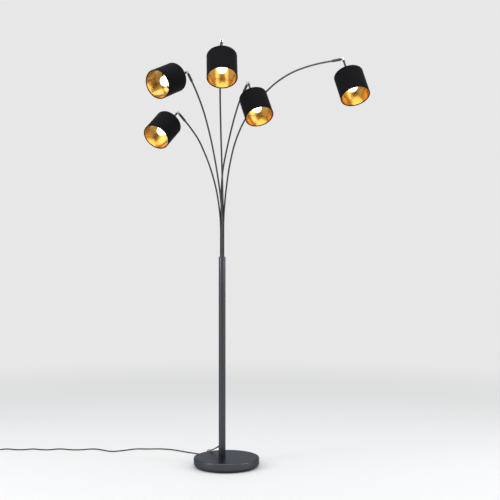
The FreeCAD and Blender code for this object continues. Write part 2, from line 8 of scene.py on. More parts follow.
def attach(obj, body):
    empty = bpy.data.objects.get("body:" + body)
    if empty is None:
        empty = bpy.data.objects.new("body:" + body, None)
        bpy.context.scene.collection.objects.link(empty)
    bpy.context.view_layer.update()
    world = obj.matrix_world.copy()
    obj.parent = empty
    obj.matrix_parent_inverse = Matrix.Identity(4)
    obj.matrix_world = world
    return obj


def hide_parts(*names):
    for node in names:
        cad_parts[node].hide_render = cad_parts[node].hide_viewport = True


# Tree floor lamp, in metres and in the part's own frame: +Z up, -Y the front.
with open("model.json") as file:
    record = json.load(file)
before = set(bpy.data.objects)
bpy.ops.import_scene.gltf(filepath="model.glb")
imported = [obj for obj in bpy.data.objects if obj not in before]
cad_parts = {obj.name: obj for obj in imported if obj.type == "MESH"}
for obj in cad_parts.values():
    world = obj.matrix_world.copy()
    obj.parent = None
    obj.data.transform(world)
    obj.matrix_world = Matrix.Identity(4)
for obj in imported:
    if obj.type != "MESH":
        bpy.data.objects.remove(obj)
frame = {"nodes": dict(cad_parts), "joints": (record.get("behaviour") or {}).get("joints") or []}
nodes = frame["nodes"]
joints = {joint["name"]: joint for joint in frame["joints"]}
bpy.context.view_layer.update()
scene = bpy.context.scene


# Shader sockets as Python values

class Value:
    def __init__(self, finish, socket):
        self.finish, self.socket = finish, socket

    def __add__(self, other):
        return self.finish.sumOf("ADD", self, other)

    def __sub__(self, other):
        return self.finish.sumOf("SUBTRACT", self, other)

    def __rsub__(self, other):
        return self.finish.sumOf("SUBTRACT", other, self)

    def __mul__(self, other):
        return self.finish.sumOf("MULTIPLY", self, other)

    __radd__ = __add__
    __rmul__ = __mul__


class Finish:
    def __init__(self, name, owners=None):
        self.material = (bpy.data.materials if owners is None else owners).new(name)
        self.material.use_nodes = True
        self.tree = self.material.node_tree
        self.tree.nodes.clear()

    # any node: its type, its settings, the values or links of its sockets, the output wanted
    def add(self, kind, settings=None, sockets=None, out=0):
        node = self.tree.nodes.new(kind)
        for key, setting in (settings or {}).items():
            setattr(node, key, setting)
        for key, value in (sockets or {}).items():
            if isinstance(value, Value):
                self.tree.links.new(value.socket, node.inputs[key])
            else:
                node.inputs[key].default_value = value
        return Value(self, node.outputs[out]) if node.outputs else None

    def place(self, axis=None):
        spot = self.add("ShaderNodeTexCoord", out="Object")
        if axis is None:
            return spot
        return self.add("ShaderNodeSeparateXYZ", sockets={0: spot}, out=axis)

    def noise(self, scale, detail=3.0, stretch=None):
        spot = self.place()
        if stretch:
            spot = self.add("ShaderNodeMapping", sockets={"Vector": spot, "Scale": stretch})
        return self.add("ShaderNodeTexNoise",
                        sockets={"Vector": spot, "Scale": scale, "Detail": detail})

    def sumOf(self, operation, first, second=0.0):
        return self.add("ShaderNodeMath", {"operation": operation}, {0: first, 1: second})

    def between(self, share, low, high):
        return self.add("ShaderNodeMapRange",
                        sockets={"Value": share, "To Min": low, "To Max": high})

    def blend(self, share, first, second):
        return self.add("ShaderNodeMix", {"data_type": "RGBA"},
                        {0: share, 6: (*first, 1), 7: (*second, 1)}, out=2)

    def relief(self, height, strength, depth):
        return self.add("ShaderNodeBump",
                        sockets={"Height": height, "Strength": strength, "Distance": depth})

    # 1 where a ray comes straight from the camera, from a mirror or through glass
    def backdropRay(self):
        rays = [self.add("ShaderNodeLightPath", out=kind)
                for kind in ("Is Camera Ray", "Is Glossy Ray", "Is Transmission Ray")]
        return self.sumOf("MINIMUM", rays[0] + rays[1] + rays[2], 1.0)

    def surface(self, **sockets):
        values = {key.replace("_", " "): (*value, 1) if isinstance(value, tuple) else value
                  for key, value in sockets.items()}
        shader = self.add("ShaderNodeBsdfPrincipled", sockets=values)
        self.add("ShaderNodeOutputMaterial", sockets={0: shader})
        return self.material


def satinMetal(name, colour, grain=0.5, rough=(0.27, 0.36), edge=(0.5, 0.53, 0.57)):
    finish = Finish(name)
    cloud = finish.noise(9, 4)
    speck = finish.noise(2600, 2)
    tone = finish.blend(cloud, tuple(c * 0.9 for c in colour), tuple(c * 1.1 for c in colour))
    return finish.surface(Base_Color=tone, Metallic=1.0, Roughness=finish.between(cloud, *rough),
                          Specular_Tint=edge, Normal=finish.relief(speck, grain, 0.00006))


def blackEnamel(name, colour):
    finish = Finish(name)
    cloud = finish.noise(40, 3)
    tone = finish.blend(cloud, colour, tuple(c * 1.5 for c in colour))
    return finish.surface(Base_Color=tone, Roughness=finish.between(cloud, 0.36, 0.46),
                          Specular_IOR_Level=0.3,
                          Normal=finish.relief(finish.noise(900, 2), 0.12, 0.0001))


def polishedChrome():
    finish = Finish("polishedChrome")
    smear = finish.noise(120, 4)
    tone = finish.blend(smear, (0.5, 0.51, 0.52), (0.58, 0.585, 0.59))
    return finish.surface(Base_Color=tone, Metallic=1.0,
                          Roughness=finish.between(smear, 0.05, 0.16))


def zincPlate():
    finish = Finish("zincPlate")
    cloud = finish.noise(150, 4)
    tone = finish.blend(cloud, (0.42, 0.42, 0.38), (0.6, 0.6, 0.56))
    return finish.surface(Base_Color=tone, Metallic=1.0, Roughness=finish.between(cloud, 0.3, 0.5))


def shadeCloth():
    # plain weave, its threads counted round the shade and down it
    finish = Finish("shadeCloth")
    across, along, down = finish.place("X"), finish.place("Y"), finish.place("Z")
    turn = finish.sumOf("ARCTAN2", along, across)
    warp = finish.sumOf("SINE", turn * 560.0)
    weft = finish.sumOf("SINE", down * 8600.0)
    slub = finish.noise(60, 3, stretch=(1, 1, 14))
    fluff = finish.noise(1500, 2)
    thread = warp * weft * 0.5 + 0.5
    # base colour: painted shade, darker in the weave's hollows and lighter on its raised threads,
    # plus slubs that vary the cloth's own tone at random
    weaveShadeAndTone = finish.blend(thread * 0.6 + slub * 0.4, (0.002, 0.002, 0.0026), (0.008, 0.0084, 0.0104))
    height = thread * 0.7 + slub * 0.5 + fluff * 0.3
    return finish.surface(Base_Color=weaveShadeAndTone, Roughness=finish.between(slub, 0.72, 0.9),
                          Specular_IOR_Level=0.06, Sheen_Weight=0.15, Sheen_Roughness=0.2,
                          Sheen_Tint=(0.78, 0.9, 1.0), Normal=finish.relief(height, 0.4, 0.00022))


def goldFoil():
    finish = Finish("goldFoil")
    cloud = finish.noise(16, 2)
    ripple = finish.noise(22, 1, stretch=(1, 1, 0.4))
    tone = finish.blend(cloud, (0.6, 0.3, 0.05), (0.66, 0.35, 0.065))
    return finish.surface(Base_Color=tone, Metallic=0.85,
                          Roughness=finish.between(cloud, 0.2, 0.24),
                          Normal=finish.relief(ripple, 0.05, 0.001))


def opalGlass(strength):
    finish = Finish("opalGlass")
    cloud = finish.noise(60, 2)
    tone = finish.blend(cloud, (0.9, 0.88, 0.84), (0.97, 0.96, 0.93))
    return finish.surface(Base_Color=tone, Roughness=finish.between(cloud, 0.12, 0.22),
                          Emission_Color=(1.0, 0.93, 0.8), Emission_Strength=strength)


def mouldedBlack(name, colour=(0.018, 0.018, 0.019), grain=900.0, rough=(0.42, 0.56)):
    finish = Finish(name)
    cloud = finish.noise(70, 3)
    tone = finish.blend(cloud, colour, tuple(c * 1.7 for c in colour))
    return finish.surface(Base_Color=tone, Roughness=finish.between(cloud, *rough),
                          Normal=finish.relief(finish.noise(grain, 2), 0.3, 0.00015))


# cement weight, near black all over
def darkCement():
    finish = Finish("darkCement")
    cloud = finish.noise(35, 5)
    pores = finish.noise(420, 4)
    tone = finish.blend(cloud, (0.012, 0.012, 0.013), (0.03, 0.03, 0.03))
    return finish.surface(Base_Color=tone, Roughness=finish.between(cloud, 0.6, 0.8),
                          Normal=finish.relief(pores, 0.5, 0.0005))


def rubberPad():
    finish = Finish("rubberPad")
    cloud = finish.noise(50, 3)
    tone = finish.blend(cloud, (0.015, 0.015, 0.015), (0.03, 0.03, 0.03))
    return finish.surface(Base_Color=tone, Roughness=finish.between(cloud, 0.7, 0.85),
                          Normal=finish.relief(finish.noise(700, 3), 0.4, 0.0003))


finishes = {
    "lampMetal": satinMetal("lampMetal", (0.072, 0.077, 0.086)),
    "sleeveMetal": satinMetal("sleeveMetal", (0.06, 0.064, 0.071), 0.3),
    "stemEnamel": blackEnamel("stemEnamel", (0.008, 0.008, 0.009)),
    "chrome": polishedChrome(),
    "zinc": zincPlate(),
    "cloth": shadeCloth(),
    "gold": goldFoil(),
    "opal": opalGlass(2.8),
    "capMetal": satinMetal("capMetal", (0.62, 0.6, 0.55), 0.1, (0.2, 0.3), (1.0, 1.0, 1.0)),
    "plastic": mouldedBlack("blackPlastic"),
    "jacket": mouldedBlack("cordJacket", (0.008, 0.008, 0.009), 1800.0, (0.5, 0.62)),
    "cement": darkCement(),
    "rubber": rubberPad(),
}
print("finishes:", len(finishes))


# Making and placing pieces

def piece(name, mesh, body, slot, *finish, at=None, replaces=()):
    obj = bpy.data.objects.new(name, mesh)
    scene.collection.objects.link(obj)
    if at is not None:
        obj.matrix_world = at
    if not mesh.materials:
        for entry in finish:
            mesh.materials.append(finishes[entry])
    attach(obj, body)
    if replaces:
        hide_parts(*replaces)
    return obj


def toMesh(name, work, crease=32):
    bmesh.ops.recalc_face_normals(work, faces=work.faces)
    for face in work.faces:
        face.smooth = True
    for edge in work.edges:
        if len(edge.link_faces) == 2 and edge.calc_face_angle(0) > math.radians(crease):
            edge.smooth = False
    mesh = bpy.data.meshes.new(name)
    work.to_mesh(mesh)
    work.free()
    return mesh


def inMetres(x, y, z):
    return x / 1000, y / 1000, z / 1000


# turns an outline of (radius, height) points, in millimetres, about Z; reach changes a point's
# radius as it turns
def turnOutline(work, outline, steps=96, closed=True, reach=lambda turn, r, z: r, material=0):
    rings = []
    for k in range(steps):
        turn = 2 * math.pi * k / steps
        ring = []
        for r, z in outline:
            r = reach(turn, r, z)
            ring.append(work.verts.new(inMetres(r * math.cos(turn), r * math.sin(turn), z)))
        rings.append(ring)
    spans = len(outline) if closed else len(outline) - 1
    for k in range(steps):
        here, there = rings[k], rings[(k + 1) % steps]
        for j in range(spans):
            i = (j + 1) % len(outline)
            face = work.faces.new((here[j], there[j], there[i], here[i]))
            face.material_index = material
    bmesh.ops.remove_doubles(work, verts=work.verts, dist=1e-7)


def turned(name, outline, **options):
    work = bmesh.new()
    turnOutline(work, outline, **options)
    return toMesh(name, work)


# side wall between closed loops of vertices
def addLoops(work, loops):
    for here, there in zip(loops, loops[1:]):
        for k in range(len(here)):
            i = (k + 1) % len(here)
            work.faces.new((here[k], here[i], there[i], there[k]))


# puts a part in its place and joins it to a mesh
def addPart(work, part, place):
    bmesh.ops.transform(part, matrix=place, verts=part.verts)
    joined = bpy.data.meshes.new("part")
    part.to_mesh(joined)
    part.free()
    work.from_mesh(joined)
    bpy.data.meshes.remove(joined)


# turned part at a place of its own
def addTurned(work, place, outline, **options):
    part = bmesh.new()
    turnOutline(part, outline, **options)
    addPart(work, part, place)


# plate with the outline (y, z) in millimetres, from x0 to x1, its edges rounded
def addPlate(work, outline, x0, x1, rounding):
    part = bmesh.new()
    ends = [[part.verts.new(inMetres(x, y, z)) for y, z in outline] for x in (x0, x1)]
    for end in ends:
        part.faces.new(end)
    addLoops(part, ends)
    bmesh.ops.recalc_face_normals(part, faces=part.faces)
    edges = [edge for edge in part.edges if edge.calc_face_angle(0) > math.radians(25)]
    bmesh.ops.bevel(part, geom=edges, offset=rounding / 1000, segments=3, profile=0.5,
                    affect="EDGES", clamp_overlap=True)
    addPart(work, part, Matrix())


def halfRound(radius, low, steps=18):
    turns = [math.pi * k / steps for k in range(steps + 1)]
    arc = [(radius * math.cos(turn), radius * math.sin(turn)) for turn in turns]
    return arc + [(-radius, low), (radius, low)]


def axesAt(origin, xAxis, zAxis):
    z = Vector(zAxis).normalized()
    y = z.cross(Vector(xAxis)).normalized()
    x = y.cross(z)
    place = Matrix((x, y, z)).transposed().to_4x4()
    place.translation = Vector(origin)
    return place


# Camera: the photograph's, level, about a metre up

photoView = {"lens": 66.4, "sensor": 36.0, "place": (0.1125, -4.413, 1.034)}
camera = bpy.data.cameras.new("photoCamera")
camera.lens, camera.sensor_width = photoView["lens"], photoView["sensor"]
cameraObject = bpy.data.objects.new("photoCamera", camera)
cameraObject.location = photoView["place"]
cameraObject.rotation_euler = (math.radians(90), 0, 0)
scene.collection.objects.link(cameraObject)
scene.camera = cameraObject

# Cord: out of the pole's strain relief, over the base's rear rim, along the floor in waves,
# through the foot switch and into its put-away coil, in millimetres

cord = {
    "radius": 3.0,
    "lift": 3.05,
    "exitHeight": 87.0,
    "exitTurn": 125.0,
    "exitDip": 25.0,
    "reliefLength": 24.0,
    "firstRun": 28.0,
    "poleX": -22.0,
    "poleY": 37.0,
    "poleRadius": 16.5,
    "switchAxis": 7.0,
    "switchLength": 66.0,
    "rimRoute": ((-79.5, 119, 49.2), (-93, 147, 47), (-112, 196, 14), (-130, 231, 4.05)),
    "floorRoute": (
        (-154, 255), (-196, 282), (-244, 318), (-296, 356), (-356, 371), (-420, 364),
        (-478, 373), (-533, 332), (-598, 300), (-650, 346), (-702, 374), (-760, 344),
        (-818, 347), (-874, 375), (-924, 344), (-966, 350), (-1013, 370), (-1060, 346),
        (-1104, 351), (-1148, 372), (-1200, 340), (-1240, 310)),
    "switchIn": (-1267, 303.5),
    "switchStart": (-1290, 303.5),
    "coilTurns": 3.5,
    "coilRadius": 39.0,
    "coilPitch": 6.6,
    "coilBase": 3.6,
    "coilLead": 40.0,
    "coilTail": 45.0,
    "plugAxis": 6.8,
}
exitTurn, exitDip = math.radians(cord["exitTurn"]), math.radians(cord["exitDip"])
exitOut = Vector((math.cos(exitTurn), math.sin(exitTurn), 0))
exitAhead = (exitOut * math.cos(exitDip) - Vector((0, 0, math.sin(exitDip)))).normalized()
exitAt = Vector((cord["poleX"], cord["poleY"], cord["exitHeight"])) + exitOut * cord["poleRadius"]
cordStart = exitAt + exitAhead * cord["reliefLength"]
switchEnd = Vector((*cord["switchStart"], cord["switchAxis"]))
switchAlong = Vector((cord["switchLength"], 0, 0))


def coilPoint(turns, centre):
    inward = min(turns, cord["coilTurns"] - turns)
    climb = min(max((turns - cord["coilTurns"] / 2) * 2 + 0.5, 0), 1)
    radius = cord["coilRadius"] - cord["coilPitch"] * inward
    turn = math.pi / 2 + 2 * math.pi * turns
    rise = cord["coilBase"] + cord["coilPitch"] * climb * climb * (3 - 2 * climb)
    return centre + Vector((radius * math.cos(turn), radius * math.sin(turn), rise))


def cordRoute():
    points = [cordStart, cordStart + exitAhead * cord["firstRun"]]
    points += [Vector(p) for p in cord["rimRoute"]]
    points += [Vector((x, y, cord["lift"])) for x, y in cord["floorRoute"]]
    points += [Vector((*cord["switchIn"], cord["switchAxis"])), switchEnd]
    points += [switchEnd - switchAlong / 2, switchEnd - switchAlong]
    toCoil = Vector((cord["coilLead"], cord["coilRadius"], cord["switchAxis"]))
    centre = switchEnd - switchAlong - toCoil
    steps = int(cord["coilTurns"] * 16)
    points += [coilPoint(cord["coilTurns"] * k / steps, centre) for k in range(1, steps)]
    plug = Vector((centre.x + cord["coilTail"], centre.y - cord["coilRadius"], cord["plugAxis"]))
    points += [plug - Vector((6, 0, 0)), plug]
    return points


def cordCurve(name, points, radius):
    curve = bpy.data.curves.new(name, "CURVE")
    curve.dimensions = "3D"
    curve.bevel_depth = radius / 1000
    curve.bevel_resolution = 4
    curve.resolution_u = 8
    spline = curve.splines.new("NURBS")
    spline.points.add(len(points) - 1)
    for point, place in zip(spline.points, points):
        point.co = (*(place / 1000), 1)
    spline.order_u = 3
    spline.use_endpoint_u = True
    return curve


route = cordRoute()
cordLine = cordCurve("mainsCord", route, cord["radius"])
cordPiece = piece("mainsCord", cordLine, "stand", "cord_jacket", "jacket",
                  replaces=("cord_run", "cord_coil"))
print("cord: %d points" % len(route))

# Base: spun steel cover, its weight and its pad

base = {"radius": 157.0, "top": 45.0, "edge": 14.0, "shoulder": 6.0, "wall": 2.0}


def coverOutline():
    r, top, edge, bend, wall = (base[key] for key in ("radius", "top", "edge", "shoulder", "wall"))
    outer = [(0, top), (40, top), (80, top), (120, top), (r - bend - 3, top)]
    outer += [(r - bend + bend * math.sin(a), top - bend + bend * math.cos(a))
              for a in (math.radians(9 * k) for k in range(11))]
    outer += [(r, 30), (r, edge + 1.2), (r - 0.3, edge + 0.4), (r - 1.0, edge)]
    inner = [(r - wall + 0.1, edge + 0.2), (r - wall, edge + 0.8), (r - wall, top - bend),
             (r - bend, top - wall), (0, top - wall)]
    return outer + inner


piece("baseCover", turned("baseCover", coverOutline(), steps=192, closed=False), "stand",
      "anthracite_steel", "lampMetal", replaces=("base_cover",))

# Pole: tube with a rounded rim round the arms' hub

poleSizes = {"radius": 16.5, "wall": 1.5, "foot": 45.0, "top": 1002.0, "rim": 0.7}


def poleOutline():
    r, wall, rim, top = (poleSizes[key] for key in ("radius", "wall", "rim", "top"))
    foot = poleSizes["foot"]
    rows = [foot + (top - rim - foot) * k / 12 for k in range(13)]
    outline = [(r, z) for z in rows]
    outline += [(r - rim + rim * math.cos(a), top - rim + rim * math.sin(a))
                for a in (math.radians(30 * k) for k in range(1, 7))]
    return outline + [(r - wall, top - 3), (r - wall, foot)]


piece("poleTube", turned("poleTube", poleOutline(), steps=96), "stand", "anthracite_steel",
      "lampMetal", at=Matrix.Translation((cord["poleX"] / 1000, cord["poleY"] / 1000, 0)),
      replaces=("pole",))

# Strain relief: ribbed cone round the cord

relief = {"root": 6.0, "tip": 4.2, "bore": 3.05, "spigot": 4.9, "ribs": 7, "groove": 0.7}


def reliefOutline():
    length, ribs, root, tip = cord["reliefLength"], relief["ribs"], relief["root"], relief["tip"]
    bore, spigot, groove = relief["bore"], relief["spigot"], relief["groove"]
    outline = [(bore, -3.0), (spigot, -3.0), (spigot, -0.5), (root + 0.5, -0.5), (root + 0.6, 1.2)]
    pitch = (length - 3.0) / ribs
    for k in range(ribs):
        low = 1.6 + k * pitch
        share = (low + pitch / 2) / length
        wide = root + (tip - root) * share
        outline += [(wide, low), (wide, low + pitch * 0.55), (wide - groove, low + pitch * 0.65),
                    (wide - groove, low + pitch * 0.9)]
    return outline + [(tip, length - 1.0), (tip - 0.3, length), (bore, length)]


piece("strainRelief", turned("strainRelief", reliefOutline(), steps=40), "stand", "black_plastic",
      "plastic", at=axesAt(exitAt / 1000, (0, 0, 1), exitAhead), replaces=("cord_bushing",))
print("base and pole")

# Heads: each piece is made once with the hinge at its origin, X along the hinge and the shade along
# -Z, and placed at every arm's end

heads = {
    1: (-0.413, -0.657, -0.631),
    2: (-0.546, -0.742, -0.390),
    3: (0.029, -0.541, -0.841),
    4: (0.237, -0.542, -0.806),
    5: (0.198, -0.492, -0.848),
}

shade = {"radius": 65.0, "top": 94.0, "height": 123.0, "cloth": 1.2, "hem": 4.0, "hemHeight": 4.2,
         "tape": 7.0, "lining": 0.6, "seamHalf": 4.6, "seamProud": 0.35}


def clothOutline():
    r, top, cloth, hem, tape = (shade[key] for key in ("radius", "top", "cloth", "hem", "tape"))
    low = top + shade["height"]
    roll = shade["hemHeight"]

    # one hem's section, from the outside of its tape round the rim to the inside
    def hemEnd(rim, inward):
        rows = [(r, tape + 1.4), (r, tape + 0.15), (r + 0.25, tape - 0.1), (r + 0.3, tape - 0.6),
                (r + 0.3, roll), (r + 0.3, 1.6), (r - 0.2, 0.5), (r - 1.2, 0.05),
                (r - 2.6, 0.1), (r - hem + 0.5, 0.7), (r - hem, 1.9), (r - hem + 0.2, roll - 0.6),
                (r - cloth - 0.4, roll)]
        return [(wide, -(rim + inward * z)) for wide, z in rows]
    bottom = hemEnd(low, -1)
    upper = hemEnd(top, 1)
    rows = [(r, -(top + shade["height"] * k / 8)) for k in range(1, 8)]
    return upper[::-1] + rows + bottom


def clothMesh(seamTurn):
    work = bmesh.new()
    turnOutline(work, clothOutline(), steps=160)
    # lapped seam down the back
    half, proud = math.radians(shade["seamHalf"]), shade["seamProud"]
    r = shade["radius"]
    low, top = -(shade["top"] + shade["height"] - shade["tape"]), -(shade["top"] + shade["tape"])
    columns = [(seamTurn - half, r - 0.05), (seamTurn - half, r + proud), (seamTurn, r + proud),
               (seamTurn + half, r + proud), (seamTurn + half, r - 0.05)]
    rows = []
    for z in (low, top):
        rows.append([work.verts.new(inMetres(wide * math.cos(a), wide * math.sin(a), z))
                     for a, wide in columns])
    for k in range(len(columns) - 1):
        work.faces.new((rows[0][k], rows[0][k + 1], rows[1][k + 1], rows[1][k]))
    return toMesh("shadeCloth", work)


def liningOutline():
    outer = shade["radius"] - shade["cloth"] - 0.05
    inner = outer - shade["lining"]
    low = shade["top"] + shade["height"] - shade["hemHeight"] + 0.2
    high = shade["top"] + shade["hemHeight"] - 0.2
    rows = [high + (low - high) * k / 12 for k in range(13)]
    return [(inner, -z) for z in rows] + [(outer, -low), (outer, -high)]


bulbSizes = {"radius": 22.5, "centre": 162.0, "neck": 9.5, "globeEnd": 140.0, "cap": 6.9,
             "capEnd": 108.0, "capLength": 23.0, "thread": 0.45, "pitch": 2.8}


def bulbMesh():
    r, centre = bulbSizes["radius"], bulbSizes["centre"]
    capEnd, neckEnd = bulbSizes["capEnd"], bulbSizes["capEnd"] + bulbSizes["capLength"]
    work = bmesh.new()
    turns = [math.radians(bulbSizes["globeEnd"]) * k / 28 for k in range(29)]
    globe = [(r * math.sin(a), -centre - r * math.cos(a)) for a in turns]
    shoulder = globe[-1]
    low, end = (bulbSizes["neck"] + 0.4, shoulder[1] + 3.5), (bulbSizes["neck"], -neckEnd)
    sweep = []
    for t in (k / 8 for k in range(1, 9)):
        sweep.append(tuple((1 - t) ** 2 * a + 2 * t * (1 - t) * b + t * t * c
                           for a, b, c in zip(shoulder, low, end)))
    turnOutline(work, globe + sweep + [(bulbSizes["cap"], -neckEnd + 0.1)], steps=96, closed=False)
    cap, thread, pitch = bulbSizes["cap"], bulbSizes["thread"], bulbSizes["pitch"]

    def screw(turn, wide, z):
        if not capEnd + 4 < -z < neckEnd - 3:
            return wide
        return wide - thread * (0.5 + 0.5 * math.cos(2 * math.pi * (-z) / pitch + turn))
    rows = [neckEnd - (neckEnd - capEnd - 3) * k / 56 for k in range(57)]
    capOutline = [(cap, -z) for z in rows]
    capOutline += [(cap - 1.2, -capEnd - 1.2), (2.5, -capEnd), (2.5, -capEnd + 1.4),
                   (0, -capEnd + 1.5)]
    turnOutline(work, capOutline, steps=48, closed=False, reach=screw, material=1)
    return toMesh("bulb", work, 50)


holder = {"neck": 9.0, "body": 14.0, "skirt": 13.0, "flange": 17.0, "top": 79.0, "seat": 112.0,
          "mouth": 134.0, "bore": 11.0, "capBore": 7.4, "stemBore": 4.3, "floor": 106.6, "ribs": 24,
          "rib": 0.5}


def holderOutline():
    top, seat, mouth = holder["top"], holder["seat"], holder["mouth"]
    neck, body, skirt, flange = (holder[key] for key in ("neck", "body", "skirt", "flange"))
    bore, capBore, stemBore = (holder[key] for key in ("bore", "capBore", "stemBore"))
    floor = holder["floor"]
    return [(stemBore, -top), (neck - 0.8, -top), (neck, -top - 0.8), (body - 1, -top - 4.0),
            (body, -top - 5.2), (body, -top - 12.4), (body - 0.6, -top - 13.0),
            (skirt, -top - 13.0), (skirt, -seat), (flange - 0.5, -seat),
            (flange, -seat - 0.5), (flange, -seat - 2.4),
            (flange - 0.6, -seat - 3.0), (skirt, -seat - 3.0), (skirt, -mouth + 0.6),
            (skirt - 0.5, -mouth), (bore + 0.3, -mouth), (bore, -mouth + 0.4), (bore, -mouth + 6.0),
            (capBore, -mouth + 6.0), (capBore, -floor), (stemBore, -floor)]


def holderGrip(turn, wide, z):
    if wide > holder["body"] - 0.1 and -z < holder["top"] + 12.7:
        return wide - holder["rib"] * (0.5 + 0.5 * math.cos(holder["ribs"] * turn))
    return wide


knuckleSizes = {"slot": 2.4, "cheek": 3.6, "radius": 5.5, "slotDepth": 10.5, "bevel": 1.5,
                "length": 13.0, "collar": 5.0, "collarEnd": 16.0, "screwHead": 4.0,
                "headThick": 1.5}


def knuckleMesh():
    k = knuckleSizes
    outside = k["slot"] + k["cheek"]
    r, low, floor, bevel = k["radius"], -k["length"], -k["slotDepth"], k["bevel"]
    work = bmesh.new()
    for side in (-1, 1):
        x0, x1 = sorted((side * k["slot"], side * outside))
        addPlate(work, halfRound(r, low + 1), x0, x1, 0.5)
    bridge = [(-r, low), (r, low), (r, floor - bevel), (r - bevel, floor), (-r + bevel, floor),
              (-r, floor - bevel)]
    addPlate(work, bridge, -outside, outside, 0.4)
    collar, end = k["collar"], -k["collarEnd"]
    turnOutline(work, [(0, low + 0.1), (collar - 0.3, low + 0.1), (collar, low - 0.3),
                       (collar, end + 0.4), (collar - 0.4, end), (0, end)],
                steps=40, closed=False, material=1)
    # screw: a domed head with a hexagon socket on one side, a domed nut on the other
    wide, thick = k["screwHead"], k["headThick"]
    for side in (-1, 1):
        socket = [(0, thick + 0.1)]
        if side > 0:
            socket = [(1.3, thick - 0.1), (1.25, thick - 1.0), (0, thick - 1.0)]
        outline = [(0, 0), (wide, 0), (wide, thick * 0.55), (wide - 0.35, thick * 0.85),
                   (wide - 1.0, thick)] + socket
        turn = Matrix.Rotation(math.radians(90) * side, 4, "Y")
        addTurned(work, Matrix.Translation((side * outside / 1000, 0, 0)) @ turn, outline, steps=36,
                  closed=False)
    return toMesh("knuckle", work)


sleeveSizes = {"radius": 6.0, "length": 40.0, "shoulder": 14.0, "tang": 4.2, "tangRadius": 4.5,
               "groove": 0.35, "bore": 4.05}


def sleeveMesh():
    s = sleeveSizes
    front, back = -s["shoulder"], -s["shoulder"] - s["length"]
    r, cut, bore = s["radius"], s["groove"], s["bore"]
    work = bmesh.new()
    turnOutline(work, [(0, front), (r - 1.0, front), (r - 0.8, front), (r - 0.2, front - 0.5),
                       (r, front - 1.0), (r, front - 4.0), (r - cut, front - 4.3),
                       (r - cut, front - 5.0), (r, front - 5.3), (r, back + 4.3),
                       (r - cut, back + 4.0), (r - cut, back + 3.2), (r, back + 2.9),
                       (r, back + 0.9), (r - 0.9, back), (bore, back), (bore, back + 8),
                       (0, back + 8)], steps=64, closed=False)
    addPlate(work, halfRound(s["tangRadius"], front - 1), -s["tang"] / 2, s["tang"] / 2, 0.35)
    return toMesh("sleeve", work)


stemSizes = {"radius": 4.25, "bore": 2.75, "top": 16.0, "end": 89.0}


def stemOutline():
    r, bore, top, end = (stemSizes[key] for key in ("radius", "bore", "top", "end"))
    return [(bore, -top), (r - 0.3, -top), (r, -top - 0.4), (r, -end + 20), (r, -end), (bore, -end)]


liningMesh = turned("shadeLining", liningOutline(), steps=160)
bulbShape = bulbMesh()
holderShape = turned("lampholder", holderOutline(), steps=96, reach=holderGrip)
knuckleShape = knuckleMesh()
sleeveShape = sleeveMesh()
stemShape = turned("stem", stemOutline(), steps=48)

for number, axis in heads.items():
    tilt, swivel = joints["tilt_%d" % number], joints["swivel_%d" % number]
    body, tag = "head_%d" % number, "_%d" % number
    place = axesAt(tilt["pos_m"], tilt["axis"], [-c for c in axis])
    back = place.to_3x3().inverted() @ Vector((0, 1, 0.3))
    cloth = clothMesh(math.atan2(back.y, back.x))
    for name, mesh, slot, looks, node in (
            ("shadeCloth" + tag, cloth, "black_fabric", ("cloth",), "shade_cover"),
            ("shadeLining" + tag, liningMesh, "gold_foil", ("gold",), "shade_liner"),
            ("bulb" + tag + "_globe", bulbShape, "opal_glass", ("opal", "capMetal"), "bulb"),
            ("holder" + tag, holderShape, "black_plastic", ("plastic",), "lampholder"),
            ("knuckleFork" + tag, knuckleShape, "chrome", ("chrome", "stemEnamel"), "knuckle"),
            ("stemTube" + tag, stemShape, "dark_steel", ("stemEnamel",), "stem")):
        piece(name, mesh, body, slot, *looks, at=place, replaces=(node + tag,))
    piece("armSleeve" + tag, sleeveShape, "sleeve_%d" % number, "dark_steel", "sleeveMetal",
          at=axesAt(swivel["pos_m"], tilt["axis"], swivel["axis"]), replaces=("sleeve" + tag,))
print("heads:", len(heads))

# Foot switch: two halves with a parting line, a raised ring round the button, ribbed cord ends

footSwitch = {"length": 66.0, "width": 34.0, "height": 20.0, "stub": 8.0, "stubRadius": 4.6,
              "corner": 14.0, "edge": 4.2, "ringRadius": 13.4, "button": 11.0, "well": 9.0,
              "wellRadius": 11.3, "wellFloor": 12.5, "travel": 2.5, "spare": 0.8, "proud": 4.5,
              "parting": 9.0}


def roundedOblong(length, width, radius, steps=8):
    corners = []
    for cx, cy, start in ((1, 1, 0), (-1, 1, 90), (-1, -1, 180), (1, -1, 270)):
        for k in range(steps + 1):
            a = math.radians(start + 90 * k / steps)
            corners.append((cx * (length / 2 - radius) + radius * math.cos(a),
                            cy * (width / 2 - radius) + radius * math.sin(a)))
    return corners


